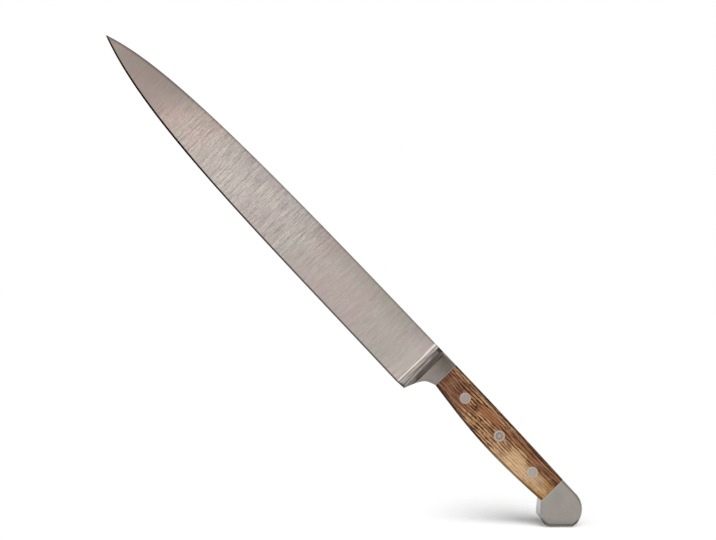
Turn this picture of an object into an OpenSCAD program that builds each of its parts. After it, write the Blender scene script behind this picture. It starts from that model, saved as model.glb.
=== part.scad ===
// Carving knife with a full tang, one forged piece of steel from tip to butt,
// and two wooden grip scales held by three two-part rivets.
// Units are millimetres. The knife lies on its side: +X runs from the tip to the butt,
// +Y from the cutting edge to the spine and +Z up through the left face.
// Working coordinates start at the heel, the rear lower corner of the blade, with Y = 0
// on the level of the tip and Z = 0 in the middle of the steel.

/* [Blade] */
// Length from the heel to the tip
blade_len = 261; // [180:1:320]
// Thickness of the spine where the blade meets the bolster
spine_heel_t = 2.6; // [2:0.1:3.5]
// Thickness of the spine just behind the tip
spine_tip_t = 1.2; // [0.8:0.1:1.8]
// Radius that rounds each edge of the spine
spine_r = 0.4; // [0.2:0.1:0.7]
// Height of the spine above the tip's level, at the bolster
spine_rise = 12.5; // [10:0.1:16]
// Depth of the cutting edge below the tip's level, at the bolster
edge_drop = 18.3; // [15:0.1:22]
// Height of the ground bevel along the cutting edge
bevel_h = 1.0; // [0.6:0.1:1.6]
// Thickness of the blade where the bevel starts
bevel_t = 0.4; // [0.3:0.05:0.8]
// Width of the flat left on the cutting edge
edge_land = 0.04; // [0.02:0.01:0.1]

/* [Blade outline] */
// How far behind the tip the spine keeps its first direction
spine_front_reach = 32; // [20:1:45]
// Rise of the spine over that reach
spine_front_rise = 12; // [10:0.1:17]
// How far ahead of the bolster the spine keeps its last direction
spine_rear_reach = 160; // [100:1:180]
// Height of the spine's curve at that reach
spine_rear_rise = 14.1; // [11:0.1:18]
// How far behind the tip the cutting edge keeps its first direction
edge_front_reach = 48; // [25:1:65]
// Drop of the cutting edge over that reach
edge_front_drop = 17.4; // [12:0.1:20]
// How far ahead of the bolster the cutting edge keeps its last direction
edge_rear_reach = 126; // [80:1:160]
// Depth of the cutting edge's curve at that reach
edge_rear_drop = 16.2; // [13:0.1:22]

/* [Front bolster] */
// Length from the heel to the front of the wood
bolster_len = 10.7; // [9:0.1:16]
// Width of the bolster where its hollow front ends
bolster_front_w = 15.6; // [13:0.1:16]
// Radius of the hollow between blade and bolster
hollow_r = 8; // [7.5:0.1:10]
// Length of the hollow at the heel, ahead of the heel
hollow_heel_len = 6.2; // [5:0.1:7]
// Height over which the bolster widens above the heel
heel_taper_h = 9.5; // [7:0.1:12]
// How far the rounding of the heel's lower edge draws it in
heel_edge_in = 2; // [1:0.1:2.4]
// Height of that rounding
heel_edge_h = 3.2; // [2:0.1:5]
// Radius of the bolster's upper edge where the hollow cuts it
front_top_r = 4.5; // [2.5:0.1:5]
// Height by which the heel's corner stands above the lowest part of the edge
heel_lift = 0.5; // [0:0.1:1]
// How far back the bolster's underside leans as it leaves the heel
throat_lean = 3.6; // [2:0.1:5]
// Height over which it leans
throat_rise = 12.3; // [8:0.1:13]
// Length over which the underside straightens ahead of the wood
throat_run = 5.7; // [3:0.1:7]
// How much it still rises over that length
throat_run_rise = 2.1; // [0:0.1:3]

/* [Grip] */
// Length of the wood
grip_len = 87.3; // [75:0.1:110]
// Width across both scales and the steel between them
grip_w = 16; // [15.5:0.1:19]
// Radius of the long edges of the grip
grip_edge_r = 2; // [1:0.1:2.8]
// Height of the grip's top above the tip's level, at the butt
grip_rear_rise = 10.7; // [9:0.1:14]
// How far the grip's top swells above a straight line
top_swell = 0.4; // [0:0.1:2]
// Depth of the grip's underside below the tip's level, at the bolster
grip_front_drop = 3.8; // [3:0.1:6]
// Depth of the grip's underside below the tip's level, at the butt
grip_rear_drop = 6.3; // [5:0.1:8]
// How far the grip's belly swells below a straight underside
belly_swell = 2.7; // [0:0.1:5]
// Thickness of the tang between the scales
tang_t = 3; // [2.4:0.1:4]
// Gap filled by glue between a scale and the steel
glue_gap = 0.05; // [0.02:0.01:0.1]

/* [Butt] */
// Length from the rear of the wood to the end of the knife
butt_len = 23.4; // [19:0.1:28]
// Radius of the upper rear of the butt
butt_r = 12.3; // [11:0.1:13]
// Height of that radius's centre relative to the tip's level
butt_centre_y = -1.8; // [-2.5:0.1:-1]
// Radius of the rear corner below it
butt_corner_r = 4; // [3:0.1:5]
// How far round the upper radius runs below level before the corner, in degrees
butt_corner_turn = 2; // [1:1:10]
// Radius of the two corners of the beak under the butt
beak_r = 4.5; // [3:0.1:6]
// Distance of the beak's front corner centre behind the wood
beak_x = 8.2; // [7:0.1:10]
// Distance between the centres of the beak's two corners
beak_flat = 3.3; // [2:0.1:5]
// How much higher the front corner lies than the rear one
beak_tilt = 0.5; // [0:0.1:1]
// Depth of the beak's rear corner below the tip's level
beak_drop = 14.1; // [12:0.1:17]

/* [Rivets] */
// Distance of the front rivet behind the front of the wood
front_rivet_inset = 16.6; // [12:0.1:22]
// Distance of the rear rivet ahead of the rear of the wood
rear_rivet_inset = 14.8; // [12:0.1:22]
// Distance of the middle rivet behind the point halfway between the others
middle_rivet_shift = 0.5; // [-4:0.1:4]
// Depth of the front rivet's centre below the grip's top
front_rivet_drop = 9.1; // [7.5:0.1:10]
// Depth of the rear rivet's centre below the grip's top
rear_rivet_drop = 9.9; // [7.5:0.1:11]
// Diameter of a rivet's head
rivet_head_d = 6.5; // [6:0.1:7.5]
// Thickness of a rivet's head
rivet_head_t = 1.6; // [1:0.1:2.5]
// Outer diameter of the sleeve half
rivet_sleeve_d = 4.8; // [4.4:0.1:5.4]
// Diameter of the stud half's shank
rivet_stud_d = 3; // [2.4:0.1:3.6]
// Radial clearance of a rivet in the scale and of the stud in its sleeve
rivet_fit = 0.02; // [0.01:0.01:0.05]
// Radial clearance of a rivet in the tang
tang_hole_fit = 0.1; // [0.05:0.05:0.3]
// Gap between the sleeve's mouth and the stud's head
rivet_end_gap = 0.3; // [0.1:0.1:0.6]

/* [Hidden] */
$fn = 64;
STEEL = [0.70, 0.67, 0.65];
RIVET_STEEL = [0.78, 0.76, 0.74];
WOOD = [0.66, 0.45, 0.28];

BLADE_STEPS = 22;      // rings along the blade
HOLLOW_STEPS = 8;      // rings across the hollow front of the bolster
THROAT_STEPS = 9;      // rings from there to the wood
GRIP_STEPS = 16;       // rings along a scale
FLANK_STEPS = 14;      // rows up each side of a ring
CORNER_STEPS = 3;      // rows round each corner of a ring
ARC_STEPS = 8;         // points round each curve of the butt
BUTT_EDGE_STEPS = 4;   // levels round each long edge of the butt
TIP_CROWDING = 1.3;    // above 1, rings crowd towards the tip
TIP_BEVEL_SHARE = 0.35; // most of the height that the bevel may take near the tip
TIP_SPINE_SHARE = 0.2; // most of the height that the rounded spine may take there
LEAST_TURN = 5;        // least and most angle that the hollow's arc turns through
MOST_TURN = 82;

grip_x = bolster_len;
butt_x = bolster_len + grip_len;
end_x = butt_x + butt_len;
hollow_x = -hollow_heel_len;
heel_y = -edge_drop + heel_lift;
half_w = grip_w / 2;

function mix(a, b, f) = a + (b - a) * f;
function clamp01(f) = min(max(f, 0), 1);
function smooth(f) = f * f * (3 - 2 * f);

function bezier(p, t) =
    pow(1 - t, 3) * p[0]
    + 3 * pow(1 - t, 2) * t * p[1]
    + 3 * (1 - t) * t * t * p[2]
    + pow(t, 3) * p[3];

// Outlines of the blade from the tip to the front of the bolster
tip = [-blade_len, 0];
spine_curve = [
    tip,
    tip + [spine_front_reach, spine_front_rise],
    [hollow_x - spine_rear_reach, spine_rear_rise],
    [hollow_x, spine_rise],
];
edge_curve = [
    tip,
    tip + [edge_front_reach, -edge_front_drop],
    [hollow_x - edge_rear_reach, -edge_rear_drop],
    [hollow_x, -edge_drop],
];

// Underside of the bolster from the heel up to the wood
throat_curve = [
    [0, heel_y],
    [throat_lean, heel_y + throat_rise],
    [grip_x - throat_run, -grip_front_drop - throat_run_rise],
    [grip_x, -grip_front_drop],
];

// Top of the bolster and the grip, and the underside of the grip
function grip_top(x) =
    let (f = (x - hollow_x) / (butt_x - hollow_x))
    mix(spine_rise, grip_rear_rise, f) + top_swell * sin(180 * f);
function grip_bottom(x) =
    let (f = (x - grip_x) / grip_len)
    -mix(grip_front_drop, grip_rear_drop, f) - belly_swell * sin(180 * f);

// Half thickness of the ground blade at height y between a ring's shoulder and its spine
function ground_half(y, y_low, y_high, spine_half) =
    mix(bevel_t / 2, spine_half, clamp01((y - y_low) / (y_high - y_low)));

// Rise of the hollow above the blade's face at distance d from where it starts, and the
// distance at which it has risen so far
function hollow_rise(d) = hollow_r - sqrt(max(hollow_r * hollow_r - d * d, 0));
function hollow_reach(rise) =
    let (h = min(rise, hollow_r))
    sqrt(2 * hollow_r * h - h * h);

// Half width of the bolster's front at height y: full beside the grip, thin at the heel
heel_half = bevel_t / 2 + hollow_rise(hollow_heel_len);
function front_half(y) =
    mix(heel_half, bolster_front_w / 2, smooth(clamp01((y - heel_y) / heel_taper_h)));

// One side of a ring as [y, lower inset, upper inset] rows, from the bottom to the top.
// The insets are how far the corners draw the surface in from the ring's full half width.
function ring_rows(y_low, y_high, low_in, low_up, low_round, top_r) = concat(
    [for (k = [0:CORNER_STEPS])
        let (
            a = 90 * k / CORNER_STEPS,
            out = mix(k / CORNER_STEPS, sin(a), low_round),
            up = mix(k / CORNER_STEPS, 1 - cos(a), low_round)
        )
        [y_low + low_up * up, low_in * (1 - out), 0]],
    [for (i = [1:FLANK_STEPS - 1])
        [mix(y_low + low_up, y_high - top_r, i / FLANK_STEPS), 0, 0]],
    [for (k = [0:CORNER_STEPS])
        let (a = 90 * k / CORNER_STEPS)
        [y_high - top_r * (1 - sin(a)), 0, top_r * (1 - cos(a))]]
);

// A full ring from the points of its left side
function ring(side) = concat(
    side,
    [for (i = [len(side) - 1:-1:0]) [side[i].x, side[i].y, -side[i].z]]
);

// Rings along the blade
function blade_ring(t) =
    let (
        low = bezier(edge_curve, t),
        high = bezier(spine_curve, t),
        height = high.y - low.y,
        up = min(bevel_h, height * TIP_BEVEL_SHARE),
        r = min(spine_r, height * TIP_SPINE_SHARE),
        spine_half = mix(spine_tip_t, spine_heel_t, t) / 2
    )
    ring([for (row = ring_rows(low.y, high.y, (bevel_t - edge_land) / 2, up, 0, r))
        let (
            f = (row[0] - low.y) / height,
            half = ground_half(row[0], low.y + up, high.y - r, spine_half)
        )
        [mix(low.x, high.x, f), row[0], half - row[1] - row[2]]]);

// Rows where the hollow starts on the blade and where it ends at the bolster's side,
// and the place along the knife of each row's end
start_rows = ring_rows(
    -edge_drop, spine_rise, (bevel_t - edge_land) / 2, bevel_h, 0, spine_r
);
end_rows = ring_rows(
    heel_y, grip_top(0), heel_edge_in, heel_edge_h, 1, front_top_r
);
function start_half(y) =
    ground_half(y, -edge_drop + bevel_h, spine_rise - spine_r, spine_heel_t / 2);
crease_xs = [
    for (row = end_rows)
        hollow_x + hollow_reach(front_half(row[0]) - row[2] - start_half(row[0]))
];

// Angle that an arc over run and rise turns through when it starts with the hollow's radius
function arc_turn(run, rise) =
    let (c = run * run / (rise * hollow_r) - 1)
    acos(min(max(c, cos(MOST_TURN)), cos(LEAST_TURN)));

// Rings across the hollow, at share q of each row's arc
function hollow_ring(q) = ring([
    for (j = [0:len(end_rows) - 1])
        let (
            start = start_rows[j],
            end = end_rows[j],
            z_start = start_half(start[0]) - start[1] - start[2],
            z_end = front_half(end[0]) - end[1] - end[2],
            run = crease_xs[j] - hollow_x,
            turn = arc_turn(run, z_end - z_start),
            along = sin(turn * q) / sin(turn),
            out = (1 - cos(turn * q)) / (1 - cos(turn))
        )
        [hollow_x + run * along, mix(start[0], end[0], along), mix(z_start, z_end, out)]
]);

// Rings from the end of the hollow to the wood
function throat_ring(q) =
    let (
        low = bezier(throat_curve, q),
        f = low.x / grip_x,
        rows = ring_rows(
            low.y,
            grip_top(mix(0, grip_x, f)),
            mix(heel_edge_in, grip_edge_r, f),
            mix(heel_edge_h, grip_edge_r, f),
            1,
            mix(front_top_r, grip_edge_r, f)
        )
    )
    ring([for (j = [0:len(rows) - 1])
        let (
            row = rows[j],
            half = mix(front_half(row[0]), half_w, f)
        )
        [mix(crease_xs[j], grip_x, f), row[0], half - row[1] - row[2]]]);

// Triangles of a skin over rings with n points each, and of the flat ends
function skin_sides(first, rings, n) = [
    for (i = [0:rings - 2])
        for (j = [0:n - 1])
            let (
                a = first + i * n + j,
                b = first + i * n + (j + 1) % n
            )
            for (face = [[a, b, a + n], [b, b + n, a + n]]) face
];
function flat_end(first, n) = [for (j = [1:n - 2]) [first, first + j, first + j + 1]];
function flipped(faces) = [for (f = faces) [f[2], f[1], f[0]]];

module skin(rings) {
    n = len(rings[0]);
    polyhedron(
        points = [for (r = rings) for (p = r) p],
        faces = concat(
            skin_sides(0, len(rings), n),
            flipped(flat_end(0, n)),
            flat_end((len(rings) - 1) * n, n)
        )
    );
}

// A skin that starts at one point
module pointed_skin(point, rings) {
    n = len(rings[0]);
    polyhedron(
        points = concat([point], [for (r = rings) for (p = r) p]),
        faces = concat(
            [for (j = [0:n - 1]) [0, 1 + (j + 1) % n, 1 + j]],
            skin_sides(1, len(rings), n),
            flat_end(1 + (len(rings) - 1) * n, n)
        )
    );
}

blade_rings = [
    for (i = [1:BLADE_STEPS]) blade_ring(pow(i / BLADE_STEPS, TIP_CROWDING))
];

module blade_and_bolster() {
    pointed_skin(
        [tip.x, tip.y, 0],
        concat(
            blade_rings,
            [for (i = [1:HOLLOW_STEPS]) hollow_ring(i / HOLLOW_STEPS)],
            [for (i = [1:THROAT_STEPS]) throat_ring(i / THROAT_STEPS)]
        )
    );
}

// Outline of the grip, which the tang fills and the scales follow
grip_xs = [for (i = [0:GRIP_STEPS]) grip_x + grip_len * i / GRIP_STEPS];

module tang() {
    outline = concat(
        [[butt_x, grip_top(butt_x)], [grip_x, grip_top(grip_x)]],
        [for (x = grip_xs) [x, grip_bottom(x)]]
    );
    translate([0, 0, -tang_t / 2])
        linear_extrude(height = tang_t)
            polygon(outline);
}

// Outline of the butt as a belt round circles [x, y, r], drawn in by inset. The first and
// the last are points on the face that meets the wood.
beak_y = -beak_drop + beak_r;
round_x = butt_len - butt_r;
corner_reach = butt_r - butt_corner_r;
function butt_circles(inset) = [
    [0, -grip_rear_drop + inset, 0],
    [beak_x, beak_y + beak_tilt, beak_r - inset],
    [beak_x + beak_flat, beak_y, beak_r - inset],
    [
        round_x + corner_reach * cos(butt_corner_turn),
        butt_centre_y - corner_reach * sin(butt_corner_turn),
        butt_corner_r - inset,
    ],
    [round_x, butt_centre_y, butt_r - inset],
    [0, grip_rear_rise - inset, 0],
];

// Direction that a belt's straight run faces between circles a and b
function belt_facing(a, b) =
    atan2(b.y - a.y, b.x - a.x)
    - acos((a.z - b.z) / norm([b.x - a.x, b.y - a.y]));
function turned_past(angle, start) = angle < start ? angle + 360 : angle;
function belt(circles) = [
    for (i = [0:len(circles) - 1])
        let (
            c = circles[i],
            last = len(circles) - 1,
            is_point = i == 0 || i == last,
            from = is_point ? 0 : belt_facing(circles[i - 1], c),
            to = is_point ? 0 : turned_past(belt_facing(c, circles[i + 1]), from)
        )
        for (k = [0:is_point ? 0 : ARC_STEPS])
            let (a = mix(from, to, k / ARC_STEPS))
            [c.x + c.z * cos(a), c.y + c.z * sin(a)]
];

module butt() {
    turns = [for (k = [0:BUTT_EDGE_STEPS]) 90 * k / BUTT_EDGE_STEPS];
    upper = [
        for (a = turns)
            [half_w - grip_edge_r * (1 - sin(a)), grip_edge_r * (1 - cos(a))]
    ];
    levels = concat(
        [for (i = [len(upper) - 1:-1:0]) upper[i]],
        [for (level = upper) [-level[0], level[1]]]
    );
    skin([for (level = levels)
        [for (p = belt(butt_circles(level[1]))) [butt_x + p.x, p.y, level[0]]]]);
}

// Places of the three rivets, on a straight line from front to rear
front_rivet_x = grip_x + front_rivet_inset;
rear_rivet_x = butt_x - rear_rivet_inset;
middle_rivet_share = 0.5 + middle_rivet_shift / (rear_rivet_x - front_rivet_x);
front_rivet = [front_rivet_x, grip_top(front_rivet_x) - front_rivet_drop, 0];
rear_rivet = [rear_rivet_x, grip_top(rear_rivet_x) - rear_rivet_drop, 0];
rivet_places = [front_rivet, mix(front_rivet, rear_rivet, middle_rivet_share), rear_rivet];

module forging() {
    color(STEEL)
        difference() {
            union() {
                blade_and_bolster();
                tang();
                butt();
            }
            for (i = [0:2])
                translate(rivet_places[i])
                    cylinder(
                        h = tang_t * 2,
                        d = rivet_sleeve_d + 2 * tang_hole_fit,
                        center = true
                    );
        }
}

// Ring of the left scale at x, from the tang out to the rounded edges
function scale_ring(x) =
    let (
        low = grip_bottom(x),
        high = grip_top(x),
        inner = tang_t / 2 + glue_gap,
        corner = [for (k = [0:CORNER_STEPS]) 90 * k / CORNER_STEPS]
    )
    concat(
        [[x, low, inner]],
        [for (a = corner)
            [
                x,
                low + grip_edge_r * (1 - cos(a)),
                half_w - grip_edge_r * (1 - sin(a)),
            ]],
        [for (a = corner)
            [
                x,
                high - grip_edge_r * (1 - sin(a)),
                half_w - grip_edge_r * (1 - cos(a)),
            ]],
        [[x, high, inner]]
    );

module left_scale() {
    scale_len = grip_len - 2 * glue_gap;
    color(WOOD)
        difference() {
            skin([for (i = [0:GRIP_STEPS])
                scale_ring(grip_x + glue_gap + scale_len * i / GRIP_STEPS)]);
            for (i = [0:2])
                translate(rivet_places[i]) {
                    cylinder(h = grip_w, d = rivet_sleeve_d + 2 * rivet_fit);
                    translate([0, 0, half_w - rivet_head_t])
                        cylinder(h = grip_w, d = rivet_head_d + 2 * rivet_fit);
                }
        }
}

// Solid half of a rivet, its head flush with the left face
module stud(i) {
    shank_end = -half_w + rivet_head_t / 2;
    color(RIVET_STEEL)
        translate(rivet_places[i]) {
            translate([0, 0, half_w - rivet_head_t])
                cylinder(h = rivet_head_t, d = rivet_head_d);
            translate([0, 0, shank_end])
                cylinder(h = half_w - rivet_head_t - shank_end, d = rivet_stud_d);
        }
}

// Tubular half of a rivet, its head flush with the right face
module sleeve(i) {
    tube_end = half_w - rivet_head_t - rivet_end_gap;
    color(RIVET_STEEL)
        translate(rivet_places[i])
            difference() {
                union() {
                    translate([0, 0, -half_w])
                        cylinder(h = rivet_head_t, d = rivet_head_d);
                    translate([0, 0, -half_w])
                        cylinder(h = half_w + tube_end, d = rivet_sleeve_d);
                }
                translate([0, 0, -half_w + rivet_head_t / 2 - rivet_end_gap])
                    cylinder(h = grip_w, d = rivet_stud_d + 2 * rivet_fit);
            }
}

// Middle of the whole outline, which becomes the origin, with the left face up
all_ys = [for (r = blade_rings) for (p = r) p.y];
origin = [
    (tip.x + end_x) / 2,
    (min(all_ys) + max(all_ys)) / 2,
    -half_w,
];

module placed() {
    translate(-origin) children();
}

placed() forging();  // blade_forging
placed() left_scale();  // scale_left
placed() mirror([0, 0, 1]) left_scale();  // scale_right
placed() stud(0);  // front_rivet_stud
placed() sleeve(0);  // front_rivet_sleeve
placed() stud(1);  // middle_rivet_stud
placed() sleeve(1);  // middle_rivet_sleeve
placed() stud(2);  // rear_rivet_stud
placed() sleeve(2);  // rear_rivet_sleeve
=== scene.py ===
"""Looks of a forged carving knife with oak grip scales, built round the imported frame.

Sizes are millimetres in the knife's own terms: x runs from the heel towards the butt,
y from the cutting edge to the spine with 0 on the tip's level, z from the middle of the
steel up through the left face. place() turns them into the frame's metres.
"""

import math

import bmesh
import bpy
import numpy as np
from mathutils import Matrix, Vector


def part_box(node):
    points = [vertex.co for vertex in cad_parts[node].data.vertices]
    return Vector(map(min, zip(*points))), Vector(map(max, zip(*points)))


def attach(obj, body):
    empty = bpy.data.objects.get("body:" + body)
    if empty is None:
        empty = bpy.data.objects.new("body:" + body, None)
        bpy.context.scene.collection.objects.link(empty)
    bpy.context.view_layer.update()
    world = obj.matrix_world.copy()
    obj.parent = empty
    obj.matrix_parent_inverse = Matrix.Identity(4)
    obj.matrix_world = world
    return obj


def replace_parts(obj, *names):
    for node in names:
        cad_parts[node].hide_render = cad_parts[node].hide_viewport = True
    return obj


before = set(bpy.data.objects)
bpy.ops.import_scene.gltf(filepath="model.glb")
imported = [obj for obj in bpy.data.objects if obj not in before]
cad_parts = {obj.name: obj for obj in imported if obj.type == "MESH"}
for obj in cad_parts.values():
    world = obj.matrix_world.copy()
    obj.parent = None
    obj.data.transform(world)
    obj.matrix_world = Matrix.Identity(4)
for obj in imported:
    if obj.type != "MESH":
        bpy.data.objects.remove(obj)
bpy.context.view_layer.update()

MM = 0.001

# Blade
SPINE_HEEL_T, SPINE_TIP_T, SPINE_R = 2.6, 1.2, 0.4
SPINE_RISE, EDGE_DROP = 12.5, 18.3
BEVEL_H, BEVEL_T, EDGE_LAND = 1.0, 0.4, 0.04
SPINE_FRONT, SPINE_REAR = (32, 12), (160, 14.1)
EDGE_FRONT, EDGE_REAR = (48, 17.4), (126, 16.2)
TIP_BEVEL_SHARE, TIP_SPINE_SHARE = 0.35, 0.2

# Front bolster
BOLSTER_LEN, BOLSTER_FRONT_W = 10.7, 15.6
HOLLOW_R, HOLLOW_HEEL_LEN = 8.0, 6.2
HEEL_TAPER_H, HEEL_EDGE_IN, HEEL_EDGE_H = 9.5, 2.0, 3.2
FRONT_TOP_R, HEEL_LIFT = 4.5, 0.5
THROAT_LEAN, THROAT_RISE, THROAT_RUN, THROAT_RUN_RISE = 3.6, 12.3, 5.7, 2.1
# Degrees between which the arcs of the hollow turn
LEAST_TURN, MOST_TURN = 5, 82

# Grip
GRIP_EDGE_R = 2.0
GRIP_REAR_RISE, GRIP_FRONT_DROP, GRIP_REAR_DROP = 10.7, 3.8, 6.3
TOP_SWELL, BELLY_SWELL = 0.4, 2.7
TANG_T, GLUE_GAP = 3.0, 0.05
TANG_CHAMFER, TANG_OVERLAP = 0.05, 1.0
SEAM_CHAMFER = 0.12

# Butt
BUTT_R, BUTT_CENTRE_Y = 12.3, -1.8
CORNER_R, CORNER_TURN = 4.0, 2
BEAK_R, BEAK_X, BEAK_FLAT, BEAK_TILT, BEAK_DROP = 4.5, 8.2, 3.3, 0.5, 14.1

# Rivets
HEAD_T, HEAD_CHAMFER, CHAMFER_BEND, END_GAP = 1.6, 0.18, 0.3, 0.3
CORE_SHARE, CORE_GROOVE = 0.62, 0.08
SLEEVE_D, STUD_D = 4.8, 3.0
RIVET_FIT = 0.02
DOTS, DOT_RING_R, DOT_R, DOT_FLOOR_R, DOT_DEPTH = 7, 1.5, 0.48, 0.1, 0.35
# How far the cutters of the dots and of the bores stand out of the steel and the wood
DOT_OVER, CUT_OVER = 0.01, 1.0

# Year rings of the wood, and the radians by which a wave texture of scale 1 turns per unit
RING_GAP, WAVE_TURN = 1.6, 20
# How the blade's tones and painted shades and the hollow's painted shade lean, and how the belly falls
# to the butt
BLADE_SLANT, HOLLOW_SLANT, BELLY_SLOPE = 0.5, 0.06, 0.115

# Steps of the meshes
BLADE_STEPS, HOLLOW_STEPS, THROAT_STEPS, GRIP_STEPS = 140, 26, 30, 60
FLANK_STEPS, CORNER_STEPS, ARC_STEPS, ROUND_STEPS = 60, 8, 24, 96
TIP_CROWDING = 1.5
# Edges that turn by more than this many degrees stay sharp, and points closer than this many
# metres become one. Large faces lead the shading by this weight, where 50 is neutral.
SHARP_TURN, SAME_PLACE, LARGE_FACE_WEIGHT = 28, 1e-7, 80

# Camera, straight above the knife, turned so that the knife hangs down to the right.
# Its place is counted from the heel, at the tip's level and the middle of the steel.
CAMERA_X, CAMERA_Y, CAMERA_Z = -66.0, 10.0, 680
CAMERA_TURN, CAMERA_LENS = 45.9, 60.4

# Light: the sky's strength level with the picture, towards the camera and behind the knife.
# Camera, mirror and glass rays see a white backdrop behind the knife, with a soft edge.
SKY_SIDE, SKY_FRONT, SKY_BACK = 0.28, 1.06, 0.5
BACKDROP, BACKDROP_EDGE = 1.0, 0.3
# The knife stands on its butt, on a floor that is square to the picture. Two lamps light
# only this floor: a strong one from above and the camera's side, a weak one from the upper
# left. Their ways are shares to the right, up and towards the camera, the rest is in metres.
LAMP_WAY, LAMP_SIZE, LAMP_WATTS = (0.24, 0.76, 0.6), 1.3, 66
FILL_WAY, FILL_SIZE, FILL_WATTS = (-0.7, 0.65, 0.3), 0.8, 14
LAMP_FAR = 1.2
# A weak strip lamp above the knife, in the frame's metres
STRIP_AT, STRIP_AIM, STRIP_SIZE, STRIP_WATTS = (-0.24, 0.05, 1.5), (-0.05, 0, 0), (0.34, 1.6), 0.6
# Half the floor's width in metres, and its drop below the foot in millimetres
FLOOR_HALF, FLOOR_DROP = 3.0, 0.05
# A patch of the floor shows the shadow, from a middle to the left of the foot and behind it
# out to the reach, where the plain glow is full. The patch's width is a share of its depth.
SHADOW_LEFT, SHADOW_BACK, SHADOW_REACH, SHADOW_SLIM = 13, 25, 79, 0.8
# How light the floor is to the light that it throws back, and in the middle of its patch
BOUNCE_ALBEDO, PATCH_ALBEDO, GLOW = 0.19, 0.3, 1.02
# Height of the butt's points that stand on the floor, and how the floor, as the steel mirrors it,
# takes painted shade within some distance of the foot, and clears where the steel touches it
FOOT_LEVEL, FOOT_NEAR, FOOT_FAR, FOOT_PAINTED_SHADE = 0.3, 11, 24, 0.75
CONTACT_NEAR, CONTACT_FAR = 0.3, 3.5

# What the frame gives
forging_low, forging_high = (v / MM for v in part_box("blade_forging"))
wood_low, wood_high = (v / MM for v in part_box("scale_left"))
half_w = (forging_high.z - forging_low.z) / 2
grip_x = BOLSTER_LEN
heel_at = wood_low.x - GLUE_GAP - BOLSTER_LEN
butt_x = wood_high.x + GLUE_GAP - heel_at
blade_len = heel_at - forging_low.x
butt_len = forging_high.x - heel_at - butt_x
hollow_x = -HOLLOW_HEEL_LEN
heel_y = -EDGE_DROP + HEEL_LIFT
tip_level = min(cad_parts["blade_forging"].data.vertices, key=lambda v: v.co.x).co.y / MM
middle_z = (forging_high.z + forging_low.z) / 2


def place(points):
    """Frame coordinates in metres of points in the knife's millimetres."""
    return (np.asarray(points, float) + [heel_at, tip_level, middle_z]) * MM


def lerp(a, b, f):
    return a + (b - a) * f


def smooth(f):
    f = np.clip(f, 0, 1)
    return f * f * (3 - 2 * f)


def bezier(p, t):
    p = np.asarray(p, float)
    return (1 - t) ** 3 * p[0] + 3 * (1 - t) ** 2 * t * p[1] + 3 * (1 - t) * t * t * p[2] + t**3 * p[3]


TIP = (-blade_len, 0)
SPINE_CURVE = [
    TIP,
    (TIP[0] + SPINE_FRONT[0], SPINE_FRONT[1]),
    (hollow_x - SPINE_REAR[0], SPINE_REAR[1]),
    (hollow_x, SPINE_RISE),
]
EDGE_CURVE = [
    TIP,
    (TIP[0] + EDGE_FRONT[0], -EDGE_FRONT[1]),
    (hollow_x - EDGE_REAR[0], -EDGE_REAR[1]),
    (hollow_x, -EDGE_DROP),
]
THROAT_CURVE = [
    (0, heel_y),
    (THROAT_LEAN, heel_y + THROAT_RISE),
    (grip_x - THROAT_RUN, -GRIP_FRONT_DROP - THROAT_RUN_RISE),
    (grip_x, -GRIP_FRONT_DROP),
]


def grip_top(x):
    f = (x - hollow_x) / (butt_x - hollow_x)
    return lerp(SPINE_RISE, GRIP_REAR_RISE, f) + TOP_SWELL * np.sin(np.pi * f)


def grip_bottom(x):
    f = (x - grip_x) / (butt_x - grip_x)
    return -lerp(GRIP_FRONT_DROP, GRIP_REAR_DROP, f) - BELLY_SWELL * np.sin(np.pi * f)


# Meshes of the pieces


def new_object(name, places, faces):
    """An object of the scene, from places in the frame's metres."""
    mesh = bpy.data.meshes.new(name)
    mesh.from_pydata(np.asarray(places, float).tolist(), [], [list(map(int, f)) for f in faces])
    thing = bpy.data.objects.new(name, mesh)
    bpy.context.scene.collection.objects.link(thing)
    return thing


def make_piece(name, points, faces, materials, zones=None, marks=None):
    """A piece from points in the knife's millimetres and faces, with one material per zone.

    marks are named numbers at the points, which the materials read.
    """
    piece = new_object(name, place(points), faces)
    for material in materials:
        piece.data.materials.append(material)
    if zones is not None:
        piece.data.polygons.foreach_set("material_index", zones)
    for mark, values in (marks or {}).items():
        piece.data.attributes.new(mark, "FLOAT", "POINT").data.foreach_set("value", values)
    soften(piece)
    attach(piece, "root")
    return piece


def soften(piece):
    """Smooth shading with sharp edges kept, and the mesh cleaned."""
    bm = bmesh.new()
    bm.from_mesh(piece.data)
    bmesh.ops.remove_doubles(bm, verts=bm.verts, dist=SAME_PLACE)
    bmesh.ops.recalc_face_normals(bm, faces=bm.faces)
    for face in bm.faces:
        face.smooth = True
    for edge in bm.edges:
        edge.smooth = edge.is_manifold and edge.calc_face_angle() < math.radians(SHARP_TURN)
    bm.to_mesh(piece.data)
    bm.free()


def even_normals(piece):
    """Lets large flat faces keep their shading beside small rounded ones."""
    modifier = piece.modifiers.new("even", "WEIGHTED_NORMAL")
    modifier.keep_sharp = True
    modifier.weight = LARGE_FACE_WEIGHT


def skin(rings):
    """Points and faces of a closed skin over rings with the same count of points."""
    rings = [np.asarray(r, float) for r in rings]
    n = len(rings[0])
    points = np.vstack(rings)
    faces = []
    for i in range(len(rings) - 1):
        a = i * n
        faces += [(a + j, a + (j + 1) % n, a + n + (j + 1) % n, a + n + j) for j in range(n)]
    faces.append(list(range(n))[::-1])
    faces.append(list(range((len(rings) - 1) * n, len(rings) * n)))
    return points, faces


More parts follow.
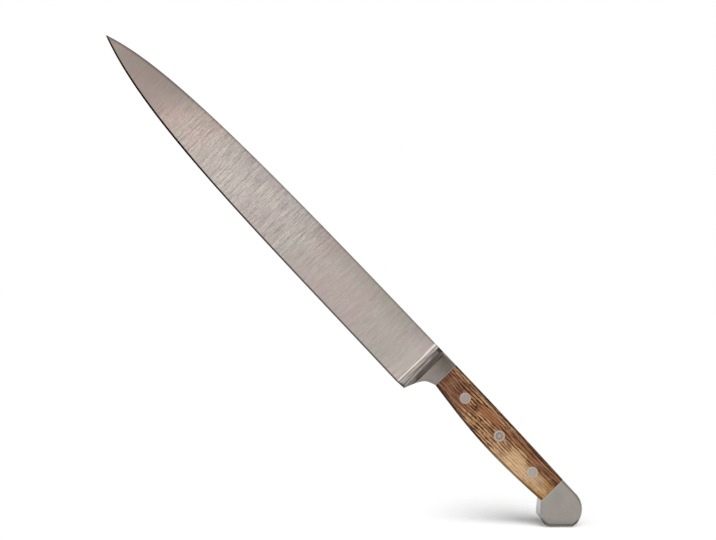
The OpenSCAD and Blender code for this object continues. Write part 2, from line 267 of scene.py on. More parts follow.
def cut(piece, cutters):
    """Takes the cutters out of a piece and removes them."""
    for cutter in cutters:
        modifier = piece.modifiers.new("cut", "BOOLEAN")
        modifier.operation = "DIFFERENCE"
        modifier.solver = "EXACT"
        modifier.object = cutter
    graph = bpy.context.evaluated_depsgraph_get()
    result = bpy.data.meshes.new_from_object(piece.evaluated_get(graph))
    piece.modifiers.clear()
    piece.data = result
    for cutter in cutters:
        bpy.data.objects.remove(cutter)
    soften(piece)


def lathe(profile, centre):
    """Points and faces of a profile of (radius, z) turned round centre, closed at both ends."""
    radius, height = np.transpose(profile)
    turns = np.linspace(0, 2 * np.pi, ROUND_STEPS, endpoint=False)
    x = centre[0] + np.outer(radius, np.cos(turns))
    y = centre[1] + np.outer(radius, np.sin(turns))
    z = np.repeat(height[:, None], ROUND_STEPS, 1)
    return skin(np.stack([x, y, z], 2))


def make_cutter(profile, centre):
    """A turned body to be cut out of a piece."""
    points, faces = lathe(profile, centre)
    tool = new_object("cutter", place(points), faces)
    soften(tool)
    return tool


# Materials


class Graph:
    """The nodes of a material or a world, with short calls for the ones used here."""

    def __init__(self, owner):
        owner.use_nodes = True
        self.owner = owner
        self.nodes = owner.node_tree.nodes
        self.links = owner.node_tree.links

    def node(self, kind, inputs=(), **settings):
        made = self.nodes.new(kind)
        for key, value in settings.items():
            setattr(made, key, value)
        for key, value in dict(inputs).items():
            self.set(made.inputs[key], value)
        return made

    def set(self, socket, value):
        if isinstance(value, bpy.types.NodeSocket):
            self.links.new(value, socket)
        else:
            socket.default_value = value

    def maths(self, operation, a, b=0.0, clamp=False):
        return self.node("ShaderNodeMath", {0: a, 1: b}, operation=operation, use_clamp=clamp).outputs[0]

    def plus(self, a, b, clamp=False):
        return self.maths("ADD", a, b, clamp)

    def minus(self, a, b):
        return self.maths("SUBTRACT", a, b)

    def times(self, first, *others):
        for other in others:
            first = self.maths("MULTIPLY", first, other)
        return first

    def most(self, a, b):
        return self.maths("MAXIMUM", a, b)

    def total(self, *parts):
        """The sum of values, each times its share."""
        (value, share), *others = parts
        result = self.times(value, share)
        for value, share in others:
            result = self.plus(result, self.times(value, share))
        return result

    def remap(self, value, low, high, to_low=0.0, to_high=1.0, soft=True):
        return self.node(
            "ShaderNodeMapRange",
            {
                "Value": value,
                "From Min": low,
                "From Max": high,
                "To Min": to_low,
                "To Max": to_high,
            },
            interpolation_type="SMOOTHSTEP" if soft else "LINEAR",
        ).outputs[0]

    def band(self, value, low, high, fade):
        """One inside low to high, falling to nothing over the fade on both sides."""
        rising = self.remap(value, low - fade / 2, low + fade / 2)
        return self.times(rising, self.remap(value, high - fade / 2, high + fade / 2, 1, 0))

    def xyz(self, vector):
        return self.node("ShaderNodeSeparateXYZ", {0: vector}).outputs

    def moved(self, vector, by):
        return self.node("ShaderNodeVectorMath", {0: vector, 1: by}).outputs[0]

    def length(self, vector):
        return self.node("ShaderNodeVectorMath", {0: vector}, operation="LENGTH").outputs["Value"]

    def shade(self, colour, value):
        """A colour or a vector times a number."""
        scaled = self.node("ShaderNodeVectorMath", {0: colour}, operation="SCALE")
        self.set(scaled.inputs["Scale"], value)
        return scaled.outputs[0]

    def dim(self, colour, zone, level):
        """A colour whose brightness goes to level inside the zone."""
        return self.shade(colour, self.remap(zone, 0, 1, 1.0, level))

    def mix(self, share, a, b, blend="MIX"):
        made = self.node("ShaderNodeMix", data_type="RGBA", blend_type=blend)
        self.set(made.inputs[0], share)
        for socket, value in ((made.inputs[6], a), (made.inputs[7], b)):
            self.set(socket, value if isinstance(value, bpy.types.NodeSocket) else (*value, 1))
        return made.outputs[2]

    def millimetres(self, stretch=(1, 1, 1), shift=(0, 0, 0)):
        """Object coordinates in millimetres, each axis times its stretch, then shifted."""
        inputs = {
            "Vector": self.node("ShaderNodeTexCoord").outputs["Object"],
            "Location": shift,
            "Scale": [s / MM for s in stretch],
        }
        return self.node("ShaderNodeMapping", inputs).outputs[0]

    def knife_place(self):
        """The place on the knife in its own millimetres, as X, Y and Z."""
        return self.xyz(self.millimetres(shift=(-heel_at, -tip_level, -middle_z)))

    def mark(self, name):
        """The numbers that the mesh carries under this name."""
        return self.node("ShaderNodeAttribute", attribute_name=name).outputs["Fac"]

    def noise(self, vector, scale, detail, roughness):
        inputs = {"Vector": vector, "Scale": scale, "Detail": detail, "Roughness": roughness}
        return self.node("ShaderNodeTexNoise", inputs).outputs["Fac"]

    def marks(self, stretch, scale, detail, roughness, shift=(0, 0, 0)):
        """Noise in millimetres, drawn out along the axes whose stretch is small."""
        return self.noise(self.millimetres(stretch, shift), scale, detail, roughness)

    def bump(self, height, strength, distance):
        inputs = {"Height": height, "Strength": strength, "Distance": distance * MM}
        return self.node("ShaderNodeBump", inputs).outputs[0]

    def surface(self, colour, roughness, metallic, normal, **numbers):
        """Sets the material's shader and returns the material."""
        inputs = self.nodes["Principled BSDF"].inputs
        self.set(inputs["Base Color"], colour)
        self.set(inputs["Roughness"], roughness)
        self.set(inputs["Normal"], normal)
        inputs["Metallic"].default_value = metallic
        for name, value in numbers.items():
            inputs[name.replace("_", " ")].default_value = value
        return self.owner


def new_material(name):
    return Graph(bpy.data.materials.new(name))


def srgb(r, g, b):
    """A colour of the picture, 0 to 255, as the linear values that shaders use."""
    return tuple(c / 255 / 12.92 if c <= 10 else ((c / 255 + 0.055) / 1.055) ** 2.4 for c in (r, g, b))


def blade_finish():
    """Satin steel, ground across the blade, with painted shade and reflections. Its marks show most
    mid-blade.
    """
    g = new_material("blade_steel")
    at = g.knife_place()
    x = g.minus(at["X"], g.times(at["Y"], BLADE_SLANT))

    fine = g.marks((1, 0.075, 0), 1.35, 3, 0.7)
    broad = g.marks((1, 0.06, 0), 0.7, 2, 0.5, (40, 7, 3))
    grit = g.marks((1, 0.45, 0), 1.9, 1, 0.5, (5, 17, 3))
    patch = g.marks((1, 0.7, 0), 0.09, 2, 0.5, (9, 3, 1))
    marks = g.total((fine, 0.5), (broad, 0.25), (grit, 0.25))
    middle = g.times(g.remap(x, -214, -194), g.remap(x, -115, -70, 1, 0.25))
    depth = g.times(middle, g.remap(patch, 0.35, 0.6, 0.55, 1.0))
    depth = g.plus(g.times(depth, 0.8), 0.2)
    swing = g.times(g.minus(g.remap(marks, 0.32, 0.68, soft=False), 0.5), depth)
    colour = g.mix(g.plus(swing, 0.5, clamp=True), srgb(136, 127, 121), srgb(221, 212, 206))

    cast = g.marks((1, 0.8, 0), 0.08, 1, 0.5, (21, 4, 6))
    for share, tint in (
        (g.remap(cast, 0.47, 0.6), srgb(255, 250, 252)),
        (g.remap(cast, 0.47, 0.35), srgb(251, 255, 252)),
        (g.remap(x, -150, -205), srgb(255, 245, 241)),
        (g.remap(x, -120, -80), srgb(255, 252, 251)),
    ):
        colour = g.mix(share, colour, tint, "MULTIPLY")

    from_spine, from_edge = g.mark("from_spine"), g.mark("from_edge")
    # Painted shade: a dark line along the spine, and a slow darkening towards it.
    painted_spine_shade = g.remap(x, -205, -160, 0.54, 0.66)
    colour = g.shade(colour, g.remap(from_spine, 0.2, 1.8, painted_spine_shade, 1.0))
    colour = g.shade(colour, g.remap(from_spine, 0, 14, 0.86, 1.02))
    # Painted shade: the face just above the bevel darkens towards the tip.
    painted_edge_shade = g.times(g.remap(from_edge, 1.5, 1.1), g.remap(x, -140, -190))
    colour = g.dim(colour, painted_edge_shade, 0.3)
    # Painted reflection along the blade: lighter at the very tip, darker over the tip's end and towards
    # the heel, brighter just before the hollow.
    for along, start, end, at_start, at_end in (
        (x, -262, -238, 1.3, 1.0),
        (x, -219, -190, 0.71, 0.97),
        (x, -165, -75, 1.01, 0.88),
        (at["X"], -22, -7, 1.0, 1.15),
    ):
        colour = g.shade(colour, g.remap(along, start, end, at_start, at_end))
    roughness = g.plus(g.times(swing, -0.1), 0.3)
    return g.surface(colour, roughness, 1.0, g.bump(marks, 0.3, 0.015))


def bevel_finish():
    """The sharpened bevel, with a painted dark reflection: nearly black at the tip, grey towards the
    heel.
    """
    g = new_material("bevel_steel")
    marks = g.marks((1, 0.2, 0.4), 1.2, 3, 0.6)
    # Painted reflection: near black at the tip, grey towards the heel.
    colour = g.mix(g.remap(g.knife_place()["X"], -190, -60), srgb(8, 8, 7), srgb(102, 98, 94))
    colour = g.shade(colour, g.remap(marks, 0.3, 0.7, 0.85, 1.15, soft=False))
    return g.surface(colour, 0.3, 1.0, g.bump(marks, 0.2, 0.02))


def hollow_finish():
    """The hollow front of the bolster, ground up and down in fine lines.

    Painted light and shade: it starts with a bright line, is darkest in a spot below the spine,
    and lit low down beside the dark crease in which it meets the bolster's side.
    """
    g = new_material("hollow_steel")
    at = g.knife_place()
    x, y = at["X"], at["Y"]
    fine = g.marks((1, 0.07, 0), 1.5, 3, 0.65, (-1.1, 0, 0))
    broad = g.marks((1, 0.05, 0), 0.9, 2, 0.5, (2.9, 9, 2))
    marks = g.total((fine, 0.5), (broad, 0.5))
    colour = g.mix(g.remap(marks, 0.38, 0.62), srgb(134, 125, 118), srgb(200, 191, 184))
    # Painted highlight: the bright line where the hollow starts.
    colour = g.mix(g.band(x, -5.65, -4.8, 0.5), colour, srgb(222, 213, 206))

    # Painted shade in a dip, over the upper part, in the crease and in a spot below the spine, and
    # painted light low down.
    slanted = g.plus(x, g.times(y, HOLLOW_SLANT))
    painted_dip_shade = g.times(g.band(slanted, -2.6, -1.8, 0.5), g.remap(y, 6, 3))
    upper = g.times(g.band(x, -3.1, -0.9, 1.1), g.remap(y, 2, 7))
    past_reach = g.minus(x, g.remap(y, -6, -11, -0.6, 1.2))
    lit = g.times(g.remap(x, -1.95, -1.4), g.remap(past_reach, -0.3, 0.3, 1, 0))
    lit = g.times(lit, g.remap(y, 1, -6, 0.1, 1))
    crease = g.times(g.remap(x, -1.0, -0.6), g.remap(y, -11, -8))
    spot = g.times(g.remap(x, -3.4, -2.2), g.remap(x, -1.0, 0.4, 1, 0), g.remap(y, 9.5, 11.0))
    for zone, level in ((painted_dip_shade, 0.64), (upper, 0.55), (lit, 1.5), (crease, 0.8), (spot, 0.3)):
        colour = g.dim(colour, zone, level)

    # Painted shade: dark along the lower edge and towards the heel.
    from_edge = g.mark("from_edge")
    colour = g.shade(colour, g.remap(from_edge, 0.5, 1.4, 0.28, 1.0))
    heel = g.times(g.remap(from_edge, 2.8, 0.6), g.remap(x, -4.2, -2.8))
    colour = g.dim(colour, heel, 0.5)
    return g.surface(colour, 0.28, 1.0, g.bump(marks, 0.2, 0.02))


def bolster_finish():
    """The bolster's flat side, with painted shade towards the spine and a painted highlight along the
    seam.
    """
    g = new_material("bolster_steel")
    at = g.knife_place()
    marks = g.marks((1, 0.12, 0), 1.3, 3, 0.65, (2, 6, 1))
    blotch = g.marks((1, 1, 0), 0.35, 2, 0.5, (30, 2, 5))
    # Painted shade: darker towards the spine, its border broken by blotches.
    height = g.plus(at["Y"], g.times(g.minus(blotch, 0.5), 5))
    colour = g.mix(g.remap(height, 11, -4), srgb(104, 97, 90), srgb(140, 132, 126))
    colour = g.shade(colour, g.remap(marks, 0.3, 0.7, 0.9, 1.1, soft=False))
    # Painted light on the rounded top and low down towards the throat.
    colour = g.shade(colour, g.remap(at["Y"], 9.6, 11.4, 1.0, 1.8))
    colour = g.shade(colour, g.remap(at["Y"], -8, -11, 1.0, 1.5))
    # Painted highlight along the seam with the wood.
    seam = g.remap(at["X"], grip_x - 0.75, grip_x - 0.35, 0, 0.5)
    colour = g.mix(seam, colour, srgb(156, 140, 130))
    return g.surface(colour, 0.33, 1.0, g.bump(marks, 0.3, 0.02))


def butt_finish():
    """The butt, finely ground along the knife, with painted reflections in its sides and a painted
    highlight on its edge against the wood.
    """
    g = new_material("butt_steel")
    at = g.knife_place()
    marks = g.marks((0.12, 1, 0.5), 1.4, 3, 0.6, (5, 2, 8))
    blotch = g.marks((1, 1, 1), 0.12, 2, 0.5, (3, 12, 5))
    colour = g.mix(g.remap(blotch, 0.35, 0.65), srgb(152, 146, 140), srgb(157, 151, 144))
    colour = g.shade(colour, g.remap(marks, 0.3, 0.7, 0.96, 1.04, soft=False))
    # Painted reflection: the steep sides and rounded edges lighter, and bluish on the beak's front.
    facing = g.xyz(g.node("ShaderNodeNewGeometry").outputs["Normal"])
    level = g.maths("ABSOLUTE", facing["Z"])
    beak_reflection = g.times(g.remap(at["Y"], -5, -8), g.remap(at["X"], butt_x + 9, butt_x + 6))
    side = g.mix(beak_reflection, srgb(166, 161, 155), srgb(175, 174, 177))
    colour = g.mix(g.remap(level, 0.2, 0.8, 1, 0), colour, side)
    # Painted highlight on the edge against the wood.
    seam = g.remap(at["X"], butt_x + 0.4, butt_x + 1.1, 0.45, 0)
    colour = g.mix(seam, colour, srgb(184, 174, 156))
    return g.surface(colour, 0.34, 1.0, g.bump(marks, 0.2, 0.015))


def tang_finish():
    """The tang's narrow sides between the scales, ground along the grip."""
    g = new_material("tang_steel")
    marks = g.marks((0.12, 1, 1), 1.8, 3, 0.6)
    colour = g.mix(g.remap(marks, 0.35, 0.65), srgb(112, 107, 100), srgb(140, 134, 127))
    return g.surface(colour, 0.36, 1.0, g.bump(marks, 0.25, 0.02))


def rivet_finish():
    """A rivet's head: cool grey core, warmer and lighter rim, with painted light brighter towards the
    butt.
    """
    g = new_material("rivet_steel")
    marks = g.marks((1, 1, 1), 2.2, 3, 0.6, (7, 3, 2))
    blotch = g.remap(marks, 0.35, 0.65)
    core = g.mix(blotch, srgb(155, 149, 145), srgb(166, 160, 156))
    rim = g.mix(blotch, srgb(171, 154, 140), srgb(185, 167, 152))
    colour = g.mix(g.remap(g.mark("from_axis"), 2.0, 2.1), core, rim)
    # Painted light: brighter towards the butt.
    colour = g.shade(colour, g.remap(g.knife_place()["X"], 40, 75, 1.0, 1.13))
    return g.surface(colour, 0.34, 1.0, g.bump(marks, 0.25, 0.02))


def oak_finish(name, seed):
    """Dense brown oak with straight dark pores along the grip.

    Red-brown by the bolster, a plain orange patch beyond the front rivet, dark and closely
    streaked at the rear of its top, pale tan over the rear of its belly.
    """
    g = new_material(name)
    at = g.knife_place()
    drift = g.minus(g.marks((0.6, 1.6, 0.5), 0.11, 3, 0.6, (seed + 5, 2, 0)), 0.5)
    x = g.plus(g.minus(at["X"], grip_x), g.times(drift, 34))
    y = g.plus(at["Y"], g.times(drift, 7))
    sway = g.marks((1, 1, 1), 0.03, 1, 0.5, (seed, 0, 0))
    lift = g.shade((0, 1, 0), g.times(sway, 3))

    def grain(length, shift):
        """Places for a texture drawn out along the grip, swaying a little."""
        return g.moved(g.millimetres((1 / length, 1, 1), (seed, shift, -half_w)), lift)

    bands = g.noise(grain(12, 0), 0.45, 2, 0.5)
    streaks = g.noise(grain(10, 5), 1.5, 3, 0.6)
    pores = g.noise(grain(6, 9), 1.9, 2, 0.5)
    threads = g.noise(grain(40, 13), 1.7, 2, 0.5)
    waves = {
        "Vector": grain(14, 2),
        "Scale": math.tau / WAVE_TURN / RING_GAP,
        "Distortion": 4.0,
        "Detail": 2.0,
        "Detail Scale": 1.3,
    }
    rings = g.node("ShaderNodeTexWave", waves, bands_direction="Y").outputs["Fac"]
    lines = g.plus(g.times(rings, 0.22), streaks)

    # Zones of the wood, by the drifted place
    front = g.remap(x, 28, 10)
    beside = g.times(g.remap(at["X"], 15.5, 12), g.band(y, -1.5, 8, 1.5))
    top = g.times(g.band(x, 0, 52, 8), g.remap(y, 8.4, 10.2))
    busy = g.times(g.band(x, 10, 30, 8), g.band(y, 2.5, 8.5, 2.5))
    plain = g.times(g.band(x, 27, 40, 5), g.band(y, 4.2, 9.0, 2))
    pale = g.times(g.remap(x, 40, 60), g.remap(y, 4.6, 1.8))
    dark = g.times(g.remap(x, 42, 56), g.band(y, 5.0, 11.4, 1.6))
    rear = g.times(g.remap(x, 68, 76), g.remap(y, 5.5, 3.5))
    corner = g.times(g.remap(x, 74, 84), g.remap(y, 5.5, 3.5))

    base = g.mix(g.remap(bands, 0.38, 0.62), srgb(216, 168, 122), srgb(176, 122, 82))
    for zone, share, tone in (
        (front, 0.85, srgb(146, 100, 77)),
        (top, g.remap(x, 8, 16, 0.85, 0.7), srgb(210, 164, 121)),
        (plain, 0.75, srgb(172, 114, 76)),
        (pale, 0.85, srgb(242, 203, 157)),
        (dark, 0.85, srgb(176, 122, 86)),
        (corner, 0.8, srgb(204, 141, 66)),
    ):
        base = g.mix(g.times(zone, share), base, tone)
    base = g.dim(base, beside, 0.85)
    threaded = g.times(g.most(dark, g.times(top, 0.6)), g.remap(threads, 0.47, 0.57, 0, 0.9))
    base = g.mix(threaded, base, srgb(66, 33, 20))
    base = g.dim(base, g.times(dark, g.remap(x, 62, 78)), 0.8)
    base = g.dim(base, g.times(rear, g.remap(y, -4, 1, 0.4, 1)), 0.72)

    # How deep the streaks and pores show
    strong = g.most(busy, beside)
    depth = 1.0
    for zone, loss in (
        (pale, g.remap(x, 70, 80, 0.65, 0.35)),
        (dark, 0.45),
        (plain, 0.6),
        (front, g.remap(y, 5, 7, 0.45, 0.1)),
        (rear, 0.25),
    ):
        depth = g.minus(depth, g.times(zone, loss))
    depth = g.plus(depth, g.times(strong, 0.2), clamp=True)
    threshold = g.minus(0.64, g.times(strong, 0.06))
    streak = g.remap(g.minus(lines, threshold), -0.05, 0.06)
    fleck = g.remap(pores, 0.52, 0.64, 0, 0.75)
    colour = g.mix(g.times(streak, depth), base, srgb(73, 38, 17))
    colour = g.mix(g.times(fleck, depth), colour, srgb(71, 39, 18))

    # Painted shade along the front of the belly and in the rounded long edges, lighter in the rear's
    # roundings
    over_belly = g.plus(at["Y"], g.plus(g.times(at["X"], BELLY_SLOPE), 2.4))
    belly = g.times(g.remap(over_belly, 2.8, 0.8), g.remap(at["X"], 44, 30))
    colour = g.dim(colour, belly, 0.65)
    edge = g.maths("ABSOLUTE", at["Z"])
    rim = g.times(g.remap(edge, half_w - 0.35, half_w - 1.0), g.remap(at["X"], 50, 65))
    level = g.plus(g.remap(at["Y"], 2, 0, 0.6, 0.27), g.times(rim, 0.4))
    falling = g.remap(edge, half_w - 0.02, half_w - 0.28)
    rounded = g.times(falling, g.remap(edge, half_w - 1.9, half_w - 0.9, 0.4, 1.0))
    colour = g.dim(colour, rounded, level)

    height = g.plus(g.times(streak, 0.35), fleck)
    normal = g.bump(g.minus(1.0, height), 0.3, 0.05)
    return g.surface(colour, g.remap(pores, 0.4, 0.7, 0.5, 0.65), 0.0, normal, Specular_IOR_Level=0.15)


blade_steel = blade_finish()
bevel_steel = bevel_finish()
hollow_steel = hollow_finish()
bolster_steel = bolster_finish()
butt_steel = butt_finish()
tang_steel = tang_finish()
rivet_steel = rivet_finish()
oak_left = oak_finish("oak_left", 11.0)
oak_right = oak_finish("oak_right", 57.0)

# Blade with the bolster


def ring_rows(y_low, y_high, low_in, low_up, low_round, top_r):
    """Heights of a ring's side from bottom to top, and how far each is drawn in.

    The second value is drawn in by the lower corner, the third by the upper one.
    """
    k = np.arange(CORNER_STEPS + 1) / CORNER_STEPS
    a = k * np.pi / 2
    out, up = lerp(k, np.sin(a), low_round), lerp(k, 1 - np.cos(a), low_round)
    flank = np.arange(1, FLANK_STEPS) / FLANK_STEPS
    heights = [
        y_low + low_up * up,
        lerp(y_low + low_up, y_high - top_r, flank),
        y_high - top_r * (1 - np.sin(a)),
    ]
    none_low, none_flank = np.zeros(CORNER_STEPS + 1), np.zeros(FLANK_STEPS - 1)
    low = [low_in * (1 - out), none_flank, none_low]
    top = [none_low, none_flank, top_r * (1 - np.cos(a))]
    return np.concatenate(heights), np.concatenate(low), np.concatenate(top)


def full_ring(x, y, z):
    """A ring across the knife from the points of its left side, mirrored to the right."""
    side = np.stack([np.broadcast_to(x, np.shape(y)), y, z], 1)
    return np.vstack([side, side[::-1] * [1, 1, -1]])


def ground_half(y, y_low, y_high, spine_half):
    """Half thickness of the flat grind, from the bevel's top to the spine."""
    return lerp(BEVEL_T / 2, spine_half, np.clip((y - y_low) / (y_high - y_low), 0, 1))


def hollow_reach(rise):
    """How far along the knife the hollow's arc runs until it has risen this much."""
    h = np.clip(rise, 0, HOLLOW_R)
    return np.sqrt(2 * HOLLOW_R * h - h * h)


def hollow_rise(d):
    return HOLLOW_R - np.sqrt(np.maximum(HOLLOW_R**2 - d * d, 0))


HEEL_HALF = BEVEL_T / 2 + hollow_rise(HOLLOW_HEEL_LEN)


def front_half(y):
    """Half width of the bolster's front: full beside the grip, thin at the heel."""
    return lerp(HEEL_HALF, BOLSTER_FRONT_W / 2, smooth((y - heel_y) / HEEL_TAPER_H))


def start_half(y):
    """Half thickness of the blade where the hollow starts."""
    return ground_half(y, -EDGE_DROP + BEVEL_H, SPINE_RISE - SPINE_R, SPINE_HEEL_T / 2)


def blade_ring(t):
    low, high = bezier(EDGE_CURVE, t), bezier(SPINE_CURVE, t)
    height = high[1] - low[1]
    up = min(BEVEL_H, height * TIP_BEVEL_SHARE)
    r = min(SPINE_R, height * TIP_SPINE_SHARE)
    spine_half = lerp(SPINE_TIP_T, SPINE_HEEL_T, t) / 2
    y, low_in, top_in = ring_rows(low[1], high[1], (BEVEL_T - EDGE_LAND) / 2, up, 0, r)
    half = ground_half(y, low[1] + up, high[1] - r, spine_half)
    return full_ring(lerp(low[0], high[0], (y - low[1]) / height), y, half - low_in - top_in)


start_y, start_low_in, start_top_in = ring_rows(
    -EDGE_DROP, SPINE_RISE, (BEVEL_T - EDGE_LAND) / 2, BEVEL_H, 0, SPINE_R
)
end_y, end_low_in, end_top_in = ring_rows(heel_y, grip_top(0), HEEL_EDGE_IN, HEEL_EDGE_H, 1, FRONT_TOP_R)
start_z = start_half(start_y) - start_low_in - start_top_in
end_z = front_half(end_y) - end_low_in - end_top_in
hollow_run = hollow_reach(front_half(end_y) - end_top_in - start_half(end_y))
hollow_turn = np.arccos(
    np.clip(
        hollow_run**2 / ((end_z - start_z) * HOLLOW_R) - 1,
        math.cos(math.radians(MOST_TURN)),
        math.cos(math.radians(LEAST_TURN)),
    )
)


def hollow_ring(q):
    """A ring of the hollow, whose rows are arcs that start level on the blade's face."""
    along = np.sin(hollow_turn * q) / np.sin(hollow_turn)
    out = (1 - np.cos(hollow_turn * q)) / (1 - np.cos(hollow_turn))
    return full_ring(
        hollow_x + hollow_run * along, lerp(start_y, end_y, along), lerp(start_z, end_z, out)
    )


def throat_ring(q):
    low = bezier(THROAT_CURVE, q)
    f = low[0] / grip_x
    y, low_in, top_in = ring_rows(
        low[1],
        grip_top(lerp(0, grip_x, f)),
        lerp(HEEL_EDGE_IN, GRIP_EDGE_R, f),
        lerp(HEEL_EDGE_H, GRIP_EDGE_R, f),
        1,
        lerp(FRONT_TOP_R, GRIP_EDGE_R, f),
    )
    half = lerp(front_half(y), half_w, f)
    return full_ring(lerp(hollow_x + hollow_run, grip_x, f), y, half - low_in - top_in)


def make_blade():
    shares = (np.arange(1, BLADE_STEPS + 1) / BLADE_STEPS) ** TIP_CROWDING
    rings = [blade_ring(t) for t in shares]
    apex = rings[0] * 0 + [TIP[0], TIP[1], 0]
    hollow = [hollow_ring(k / HOLLOW_STEPS) for k in range(1, HOLLOW_STEPS + 1)]
    throat = [throat_ring(k / THROAT_STEPS) for k in range(1, THROAT_STEPS + 1)]
    all_rings = [apex, *rings, *hollow, *throat]
    points, faces = skin(all_rings)
    n = len(rings[0])
    bevel_rows = set(range(CORNER_STEPS)) | set(range(n - 1 - CORNER_STEPS, n))
    zones = []
    for i in range(len(all_rings) - 1):
        for j in range(n):
            if i < len(rings):
                zones.append(1 if j in bevel_rows else 0)
            elif i < len(rings) + len(hollow):
                zones.append(2)
            else:
                zones.append(3)
    zones += [0, 3]
    from_spine = np.concatenate([ring[:, 1].max() - ring[:, 1] for ring in all_rings])
    from_edge = np.concatenate([ring[:, 1] - ring[:, 1].min() for ring in all_rings])
    return make_piece(
        "forged_blade",
        points,
        faces,
        [blade_steel, bevel_steel, hollow_steel, bolster_steel],
        zones,
        {"from_spine": from_spine, "from_edge": from_edge},
    )


def tang_ring(x):
    """A ring of the tang, with chamfered long edges."""
    low, high, half, c = grip_bottom(x), grip_top(x), TANG_T / 2, TANG_CHAMFER
    y = [low, low, low + c, high - c, high, high, high - c, low + c]
    z = [c - half, half - c, half, half, half - c, c - half, -half, -half]
    return np.stack([np.full(len(y), x), y, z], 1)


def make_tang():
    """The tang, whose ends lie inside the bolster and the butt."""
    xs = np.linspace(grip_x - TANG_OVERLAP, butt_x + TANG_OVERLAP, GRIP_STEPS)
    points, faces = skin([tang_ring(x) for x in xs])
    piece = make_piece("steel_tang", points, faces, [tang_steel])
    even_normals(piece)
    return piece


# Butt


def butt_circles(inset):
    """Circles that the butt's outline runs round like a belt, as x, y and radius."""
    reach = BUTT_R - CORNER_R
    turn = math.radians(CORNER_TURN)
    round_x = butt_len - BUTT_R
    beak_y = -BEAK_DROP + BEAK_R
    return [
        (0, -GRIP_REAR_DROP + inset, 0),
        (BEAK_X, beak_y + BEAK_TILT, BEAK_R - inset),
        (BEAK_X + BEAK_FLAT, beak_y, BEAK_R - inset),
        (round_x + reach * math.cos(turn), BUTT_CENTRE_Y - reach * math.sin(turn), CORNER_R - inset),
        (round_x, BUTT_CENTRE_Y, BUTT_R - inset),
        (0, GRIP_REAR_RISE - inset, 0),
    ]


def belt_facing(a, b):
    """Direction that a belt's straight run faces between circles a and b."""
    gap = math.hypot(b[0] - a[0], b[1] - a[1])
    return math.atan2(b[1] - a[1], b[0] - a[0]) - math.acos((a[2] - b[2]) / gap)


def belt(circles):
    """Points of a belt round the circles, open between the last and the first."""
    points = []
    for i, c in enumerate(circles):
        if i in (0, len(circles) - 1):
            points.append((c[0], c[1]))
            continue
        start = belt_facing(circles[i - 1], c)
        end = belt_facing(c, circles[i + 1])
        if end < start:
            end += 2 * math.pi
        for a in np.linspace(start, end, ARC_STEPS + 1):
            points.append((c[0] + c[2] * math.cos(a), c[1] + c[2] * math.sin(a)))
    return points


def make_butt():
    turns = np.linspace(0, np.pi / 2, CORNER_STEPS + 1)
    upper = [
        (half_w - GRIP_EDGE_R * (1 - math.sin(a)), GRIP_EDGE_R * (1 - math.cos(a))) for a in turns
    ]
    levels = upper[::-1] + [(-z, inset) for z, inset in upper]
    rings = [[(butt_x + x, y, z) for x, y in belt(butt_circles(inset))] for z, inset in levels]
    points, faces = skin(rings)
    piece = make_piece("steel_butt", points, faces, [butt_steel])
    even_normals(piece)
    return piece


# Grip scales and rivets


def scale_ring(x, shrink):
    """A ring of a grip scale, flat towards the tang and rounded outside."""
    low, high, outer = grip_bottom(x) + shrink, grip_top(x) - shrink, half_w - shrink
    inner, r = TANG_T / 2 + GLUE_GAP, GRIP_EDGE_R - shrink
    a = np.linspace(0, np.pi / 2, CORNER_STEPS + 1)
    y = [[low], low + r * (1 - np.cos(a)), high - r * (1 - np.sin(a)), [high]]
    z = [[inner], outer - r * (1 - np.sin(a)), outer - r * (1 - np.cos(a)), [inner]]
    y, z = np.concatenate(y), np.concatenate(z)
    return np.stack([np.full(len(y), x), y, z], 1)


def rivet_centre(name):
    """Place of a rivet in the knife's millimetres, and the radius of its head."""
    low, high = (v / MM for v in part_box(name + "_stud"))
    x, y = (low.x + high.x) / 2 - heel_at, (low.y + high.y) / 2 - tip_level
    return x, y, (high.x - low.x) / 2


RIVETS = ["front_rivet", "middle_rivet", "rear_rivet"]


def make_scale(name, side, material):
    start, end = grip_x + GLUE_GAP, butt_x - GLUE_GAP
    inner_xs = np.linspace(start + SEAM_CHAMFER, end - SEAM_CHAMFER, GRIP_STEPS)
    rings = [scale_ring(start, SEAM_CHAMFER)]
    rings += [scale_ring(x, 0) for x in inner_xs]
    rings += [scale_ring(end, SEAM_CHAMFER)]
    points, faces = skin([ring * [1, 1, side] for ring in rings])
    piece = make_piece(name, points, faces, [material])
    cutters = []
    for rivet in RIVETS:
        x, y, head_r = rivet_centre(rivet)
        top, seat = side * (half_w + CUT_OVER), side * (half_w - HEAD_T)
        bore_r, seat_r = SLEEVE_D / 2 + RIVET_FIT, head_r + RIVET_FIT
        profile = [(bore_r, 0), (bore_r, seat), (seat_r, seat), (seat_r, top)]
        cutters.append(make_cutter(profile, (x, y)))
    cut(piece, cutters)
    even_normals(piece)
    return piece


def head_face(head_r, z, outward):
    """Profile across a rivet's head from its rim to its core, with a fine groove between."""
    c, core = HEAD_CHAMFER, head_r * CORE_SHARE
    return [
        (head_r, z - outward * c),
        (head_r - c * CHAMFER_BEND, z - outward * c * CHAMFER_BEND),
        (head_r - c, z),
        (core + CORE_GROOVE, z),
        (core, z - outward * CORE_GROOVE),
        (core - CORE_GROOVE, z),
        (core - 2 * CORE_GROOVE, z),
    ]


def turned_piece(name, profile, centre):
    points, faces = lathe(profile, centre)
    marks = {"from_axis": np.repeat([radius for radius, _ in profile], ROUND_STEPS)}
    return make_piece(name, points, faces, [rivet_steel], marks=marks)


